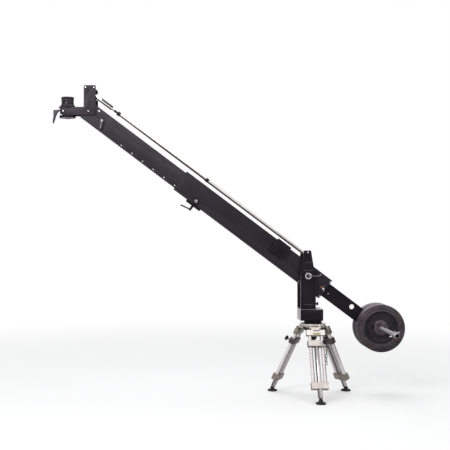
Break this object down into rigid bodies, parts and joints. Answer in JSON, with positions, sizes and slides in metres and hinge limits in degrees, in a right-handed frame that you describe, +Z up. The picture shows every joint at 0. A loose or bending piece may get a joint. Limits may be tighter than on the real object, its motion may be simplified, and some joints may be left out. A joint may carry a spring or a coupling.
{
  "type": "camera jib crane",
  "caption": "Counterweighted camera jib crane: telescoping box arm with a levelling rod and camera mount on a panning tower over a short tripod.",
  "frame": {"origin": "on the floor, under the middle of the whole crane's outline", "axes": "+Z up, -X towards the camera head, +X towards the counterweights, Y across the arm along the weight bar"},
  "size_m": [2.2394, 0.875, 1.9772],
  "materials": {
    "black_metal": "satin black coating",
    "black_plastic": "matte",
    "bright_steel": "bright",
    "dark_steel": "worn",
    "bare_aluminium": "satin",
    "bowl_metal": "cast satin",
    "leg_casting": "cast satin",
    "leg_collar": "cast satin",
    "leg_tube": "satin",
    "foot_rubber": "matte",
    "liner_plastic": "satin",
    "weight_iron": "worn paint"
  },
  "bodies": {
    "stand": {"bowl_casting": "bowl_metal", "pan_spigot": "black_metal"},
    "leg_front": {"leg_front_shoulder": "leg_casting", "leg_front_tubes": "leg_tube", "leg_front_collar": "leg_collar", "stand_chain": "bright_steel"},
    "leg_left": {"leg_left_shoulder": "leg_casting", "leg_left_tubes": "leg_tube", "leg_left_collar": "leg_collar"},
    "leg_right": {"leg_right_shoulder": "leg_casting", "leg_right_tubes": "leg_tube", "leg_right_collar": "leg_collar"},
    "leg_front_slider": {"leg_front_inner": "leg_tube"},
    "leg_left_slider": {"leg_left_inner": "leg_tube"},
    "leg_right_slider": {"leg_right_inner": "leg_tube"},
    "foot_pad_front": {"leg_front_foot": "foot_rubber"},
    "foot_pad_left": {"leg_left_foot": "foot_rubber"},
    "foot_pad_right": {"leg_right_foot": "foot_rubber"},
    "knob_front": {"leg_front_knob": "black_plastic"},
    "knob_left": {"leg_left_knob": "black_plastic"},
    "knob_right": {"leg_right_knob": "black_plastic"},
    "ball_knob": {"ball_clamp_knob": "black_plastic"},
    "tower": {"base_block": "black_metal", "tower_foot": "black_metal", "tower_plate_near": "black_metal", "tower_plate_far": "black_metal", "main_axle": "bright_steel", "rear_rod_pin": "dark_steel"},
    "tilt_handle": {"tilt_lever": "bright_steel"},
    "pan_knob": {"pan_lock_knob": "black_plastic"},
    "arm": {"outer_tube": "black_metal", "pivot_block": "bare_aluminium", "mouth_liner": "liner_plastic", "tail_socket": "bare_aluminium", "tail_bar": "black_metal", "slide_clamp": "black_metal", "plunger_housing": "black_plastic", "side_box": "black_plastic", "weight_bar": "bright_steel"},
    "clamp_handle": {"slide_clamp_lever": "dark_steel"},
    "plunger": {"index_plunger": "dark_steel"},
    "inner_arm": {"inner_tube": "black_metal", "tube_end_block": "bare_aluminium"},
    "lock_handle": {"head_lock_lever": "bright_steel"},
    "rod_rear": {"rear_rod": "bright_steel"},
    "rod_knob": {"rod_clamp_knob": "black_plastic"},
    "rod_front": {"front_rod": "dark_steel"},
    "adjuster": {"rod_adjuster": "dark_steel"},
    "head": {"head_plate_near": "black_metal", "head_plate_far": "black_metal", "head_pin": "bright_steel", "front_rod_pin": "dark_steel", "mount_body": "black_metal", "mount_disc": "black_metal"},
    "nut": {"mount_nut": "black_metal"},
    "mount_handle": {"mount_lever": "black_plastic"},
    "plate_near": {"weight_plate_near": "weight_iron"},
    "plate_far": {"weight_plate_far": "weight_iron"},
    "collar_near": {"weight_collar_near": "bright_steel"},
    "collar_far": {"weight_collar_far": "bright_steel"}
  },
  "joints": [
    {"name": "pan", "type": "hinge", "parent": "stand", "child": "tower", "pos_m": [0.54951, 0, 0.4825], "axis": [0, 0, 1], "continuous": true},
    {"name": "arm_tilt", "type": "hinge", "parent": "tower", "child": "arm", "pos_m": [0.50751, 0, 0.766], "axis": [0, 1, 0], "range_deg": [-54, 10]},
    {"name": "arm_extend", "type": "slide", "parent": "arm", "child": "inner_arm", "axis": [0.7992, 0, -0.6011], "range_m": [0, 0.51]},
    {"name": "head_level", "type": "hinge", "parent": "inner_arm", "child": "head", "pos_m": [-0.88343, 0, 1.81225], "axis": [0, 1, 0], "range_deg": [-10, 54]},
    {"name": "rear_rod_swing", "type": "hinge", "parent": "tower", "child": "rod_rear", "pos_m": [0.50751, 0, 0.896], "axis": [0, 1, 0], "range_deg": [-54, 10]},
    {"name": "front_rod_slide", "type": "slide", "parent": "rod_rear", "child": "rod_front", "axis": [0.7992, 0, -0.6011], "range_m": [0, 0.51]},
    {"name": "tilt_lever_turn", "type": "hinge", "parent": "tower", "child": "tilt_handle", "pos_m": [0.50751, -0.0906, 0.766], "axis": [0, 1, 0], "range_deg": [-60, 60]},
    {"name": "pan_knob_turn", "type": "hinge", "parent": "tower", "child": "pan_knob", "pos_m": [0.56781, -0.03, 0.5873], "axis": [1, 0, 0], "continuous": true},
    {"name": "ball_knob_turn", "type": "hinge", "parent": "stand", "child": "ball_knob", "pos_m": [0.54951, 0, 0.3724], "axis": [0, 0, 1], "continuous": true},
    {"name": "slide_clamp_turn", "type": "hinge", "parent": "arm", "child": "clamp_handle", "pos_m": [-0.22073, 0, 1.20854], "axis": [0.6011, 0, 0.7992], "range_deg": [-90, 90]},
    {"name": "index_plunger_push", "type": "slide", "parent": "arm", "child": "plunger", "axis": [0, 1, 0], "range_m": [0, 0.009]},
    {"name": "head_lock_turn", "type": "hinge", "parent": "inner_arm", "child": "lock_handle", "pos_m": [-0.79771, -0.0303, 1.75153], "axis": [0, -1, 0], "range_deg": [0, 90]},
    {"name": "rod_clamp_turn", "type": "hinge", "parent": "rod_rear", "child": "rod_knob", "pos_m": [-0.12862, -0.0223, 1.37449], "axis": [0, 1, 0], "continuous": true},
    {"name": "rod_adjuster_turn", "type": "hinge", "parent": "rod_front", "child": "adjuster", "pos_m": [-0.70082, 0, 1.80489], "axis": [-0.7992, 0, 0.6011], "continuous": true},
    {"name": "mount_nut_turn", "type": "hinge", "parent": "head", "child": "nut", "pos_m": [-1.01943, 0, 1.87952], "axis": [0, 0, 1], "continuous": true},
    {"name": "mount_lever_turn", "type": "hinge", "parent": "head", "child": "mount_handle", "pos_m": [-1.09, 0, 1.81825], "axis": [1, 0, 0], "range_deg": [-90, 90]},
    {"name": "plate_near_slide", "type": "slide", "parent": "arm", "child": "plate_near", "axis": [0, -1, 0], "range_m": [0, 0.29]},
    {"name": "plate_far_slide", "type": "slide", "parent": "arm", "child": "plate_far", "axis": [0, 1, 0], "range_m": [0, 0.29]},
    {"name": "collar_near_slide", "type": "slide", "parent": "arm", "child": "collar_near", "axis": [0, -1, 0], "range_m": [0, 0.045]},
    {"name": "collar_far_slide", "type": "slide", "parent": "arm", "child": "collar_far", "axis": [0, 1, 0], "range_m": [0, 0.045]},
    {"name": "leg_front_splay", "type": "hinge", "parent": "stand", "child": "leg_front", "pos_m": [0.54951, -0.079, 0.4362], "axis": [1, 0, 0], "range_deg": [0, 24]},
    {"name": "leg_left_splay", "type": "hinge", "parent": "stand", "child": "leg_left", "pos_m": [0.48109, 0.0395, 0.4362], "axis": [-0.5, -0.866, 0], "range_deg": [0, 24]},
    {"name": "leg_right_splay", "type": "hinge", "parent": "stand", "child": "leg_right", "pos_m": [0.61793, 0.0395, 0.4362], "axis": [-0.5, 0.866, 0], "range_deg": [0, 24]},
    {"name": "leg_front_extend", "type": "slide", "parent": "leg_front", "child": "leg_front_slider", "axis": [0, -0.4321, -0.9018], "range_m": [0, 0.2]},
    {"name": "leg_left_extend", "type": "slide", "parent": "leg_left", "child": "leg_left_slider", "axis": [-0.3742, 0.216, -0.9018], "range_m": [0, 0.2]},
    {"name": "leg_right_extend", "type": "slide", "parent": "leg_right", "child": "leg_right_slider", "axis": [0.3742, 0.216, -0.9018], "range_m": [0, 0.2]},
    {"name": "foot_front_swivel", "type": "hinge", "parent": "leg_front_slider", "child": "foot_pad_front", "pos_m": [0.54951, -0.27841, 0.02], "axis": [1, 0, 0], "range_deg": [-12, 12]},
    {"name": "foot_left_swivel", "type": "hinge", "parent": "leg_left_slider", "child": "foot_pad_left", "pos_m": [0.3084, 0.1392, 0.02], "axis": [-0.5, -0.866, 0], "range_deg": [-12, 12]},
    {"name": "foot_right_swivel", "type": "hinge", "parent": "leg_right_slider", "child": "foot_pad_right", "pos_m": [0.79062, 0.1392, 0.02], "axis": [-0.5, 0.866, 0], "range_deg": [-12, 12]},
    {"name": "knob_front_turn", "type": "hinge", "parent": "leg_front", "child": "knob_front", "pos_m": [0.59751, -0.13958, 0.35212], "axis": [0, -0.9018, 0.4321], "continuous": true},
    {"name": "knob_left_turn", "type": "hinge", "parent": "leg_left", "child": "knob_left", "pos_m": [0.40463, 0.02822, 0.35212], "axis": [-0.781, 0.4509, 0.4321], "continuous": true},
    {"name": "knob_right_turn", "type": "hinge", "parent": "leg_right", "child": "knob_right", "pos_m": [0.64639, 0.11136, 0.35212], "axis": [0.781, 0.4509, 0.4321], "continuous": true}
  ],
  "couplings": [
    {"joint": "head_level", "follows": "arm_tilt", "ratio": -1},
    {"joint": "rear_rod_swing", "follows": "arm_tilt", "ratio": 1},
    {"joint": "front_rod_slide", "follows": "arm_extend", "ratio": 1}
  ]
}
